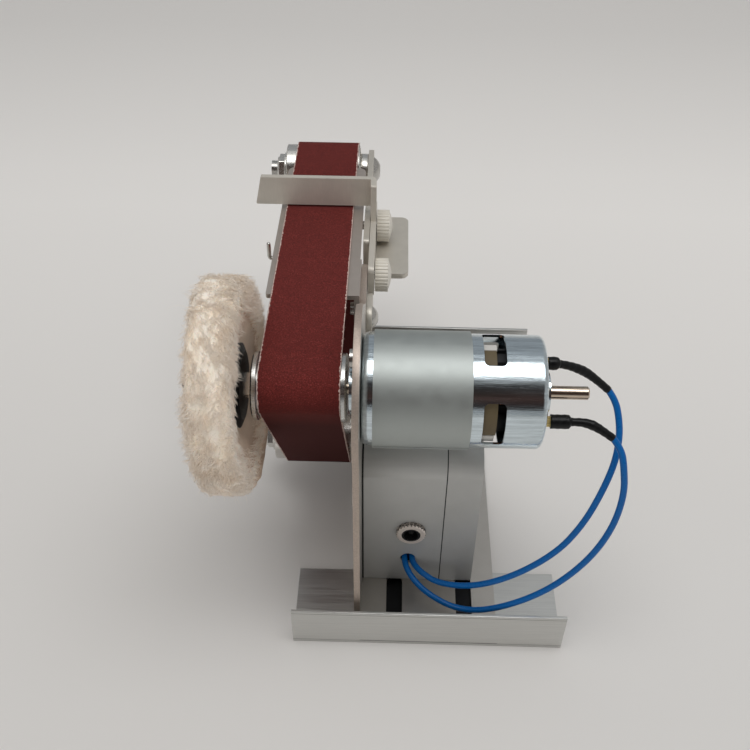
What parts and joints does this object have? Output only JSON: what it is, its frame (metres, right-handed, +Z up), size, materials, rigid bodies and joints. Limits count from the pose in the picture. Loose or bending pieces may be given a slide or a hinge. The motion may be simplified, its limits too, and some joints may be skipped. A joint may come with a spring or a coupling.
{
  "type": "belt sander",
  "caption": "Small bench belt sander: a motor on a bent sheet frame drives a narrow abrasive belt over a platen and a buffing wheel, with a sliding tool rest and clamp knobs.",
  "frame": {"origin": "on the ground, under the motor axis, at the motor's mounting face", "axes": "+X to the right along the motor shaft, +Y away from the user along the belt's upper run, +Z up"},
  "size_m": [0.1664, 0.2209, 0.161],
  "materials": {
    "stainless": "satin bent sheet",
    "angle": "fine drawn lines",
    "zinc": "bright zinc plate",
    "sleeve_zinc": "satin zinc plate",
    "bright_steel": "turned and plated",
    "roller_steel": "ground",
    "turned_aluminium": "turned",
    "magnet": "sintered",
    "laminations": "varnished laminations",
    "copper": "enamelled copper",
    "brass": "stamped",
    "carbon": "pressed carbon",
    "grey_paint": "satin grey paint",
    "black_plastic": "moulded",
    "black_metal": "blackened",
    "cream_plastic": "moulded, ribbed",
    "white_plastic": "moulded",
    "board_green": "coated board",
    "abrasive": "red-brown abrasive cloth",
    "wool": "combed wool pile",
    "shrink": "heat-shrunk tubing",
    "blue_insulation": "soft insulation"
  },
  "bodies": {
    "root": {"front_foot": "angle", "rear_foot": "angle", "foot_screws": "bright_steel", "main_frame": "stainless", "motor_can": "zinc", "flux_ring": "sleeve_zinc", "magnets": "magnet", "motor_end_cap": "zinc", "terminals": "brass", "brush_plate": "white_plastic", "brushes": "carbon", "motor_bearings": "bright_steel", "motor_screws": "bright_steel", "abrasive_belt": "abrasive", "lower_axle": "bright_steel", "lower_spacers": "bright_steel", "lower_nut": "bright_steel", "platen": "stainless", "platen_screws": "bright_steel", "side_hook": "bright_steel", "arm_stop": "stainless", "stop_screw": "bright_steel", "box_cover": "grey_paint", "box_lid": "grey_paint", "box_screws": "bright_steel", "jack_body": "black_plastic", "jack_nut": "bright_steel", "circuit_board": "board_green", "board_parts": "black_plastic", "potentiometer": "bright_steel", "switch_body": "black_plastic", "lead_upper": "blue_insulation", "lead_lower": "blue_insulation", "sleeve_upper": "shrink", "sleeve_lower": "shrink"},
    "drive_spindle": {"motor_shaft": "bright_steel", "armature_core": "laminations", "windings": "copper", "commutator": "copper", "drive_wheel": "turned_aluminium", "grub_screw": "black_metal", "arbor": "bright_steel", "hub_plates": "black_plastic", "buffing_wheel": "wool", "buff_nut": "bright_steel"},
    "upper_idler": {"upper_roller": "roller_steel", "upper_bearings": "bright_steel"},
    "lower_idler": {"lower_roller": "roller_steel", "lower_bearings": "bright_steel"},
    "tension_arm": {"arm_plate": "stainless", "upper_axle": "bright_steel", "upper_spacers": "bright_steel", "upper_nut": "bright_steel"},
    "rest_slide": {"tool_rest": "stainless"},
    "rest_clamp": {"rest_knob": "cream_plastic", "rest_knob_screw": "bright_steel"},
    "arm_clamp": {"arm_knob": "cream_plastic", "arm_knob_screw": "bright_steel"},
    "speed_dial": {"speed_knob": "black_plastic"},
    "power_rocker": {"switch_rocker": "black_plastic"}
  },
  "joints": [
    {"name": "spindle_turn", "type": "hinge", "parent": "root", "child": "drive_spindle", "pos_m": [0, 0, 0.12], "axis": [1, 0, 0], "continuous": true},
    {"name": "arm_slide", "type": "slide", "parent": "root", "child": "tension_arm", "axis": [0, 0.9995, -0.0332], "range_m": [-0.004, 0]},
    {"name": "upper_idler_turn", "type": "hinge", "parent": "tension_arm", "child": "upper_idler", "pos_m": [0, 0.16651, 0.11157], "axis": [1, 0, 0], "continuous": true},
    {"name": "lower_idler_turn", "type": "hinge", "parent": "root", "child": "lower_idler", "pos_m": [0, 0.0611, 0.0302], "axis": [1, 0, 0], "continuous": true},
    {"name": "rest_slide_joint", "type": "slide", "parent": "root", "child": "rest_slide", "axis": [0, 0.9995, -0.0332], "range_m": [-0.002, 0.005]},
    {"name": "rest_clamp_turn", "type": "hinge", "parent": "tension_arm", "child": "rest_clamp", "pos_m": [0, 0.1129, 0.11505], "axis": [1, 0, 0], "range_deg": [0, 360]},
    {"name": "arm_clamp_turn", "type": "hinge", "parent": "root", "child": "arm_clamp", "pos_m": [0, 0.07646, 0.11446], "axis": [1, 0, 0], "range_deg": [0, 360]},
    {"name": "speed_turn", "type": "hinge", "parent": "root", "child": "speed_dial", "pos_m": [0.017, 0.047, 0.056], "axis": [0, 1, 0], "range_deg": [0, 270]},
    {"name": "power_switch", "type": "hinge", "parent": "root", "child": "power_rocker", "pos_m": [0.017, 0.045, 0.028], "axis": [1, 0, 0], "range_deg": [0, 14]}
  ],
  "couplings": [
    {"joint": "upper_idler_turn", "follows": "spindle_turn", "ratio": 0.776},
    {"joint": "lower_idler_turn", "follows": "spindle_turn", "ratio": 0.776}
  ]
}
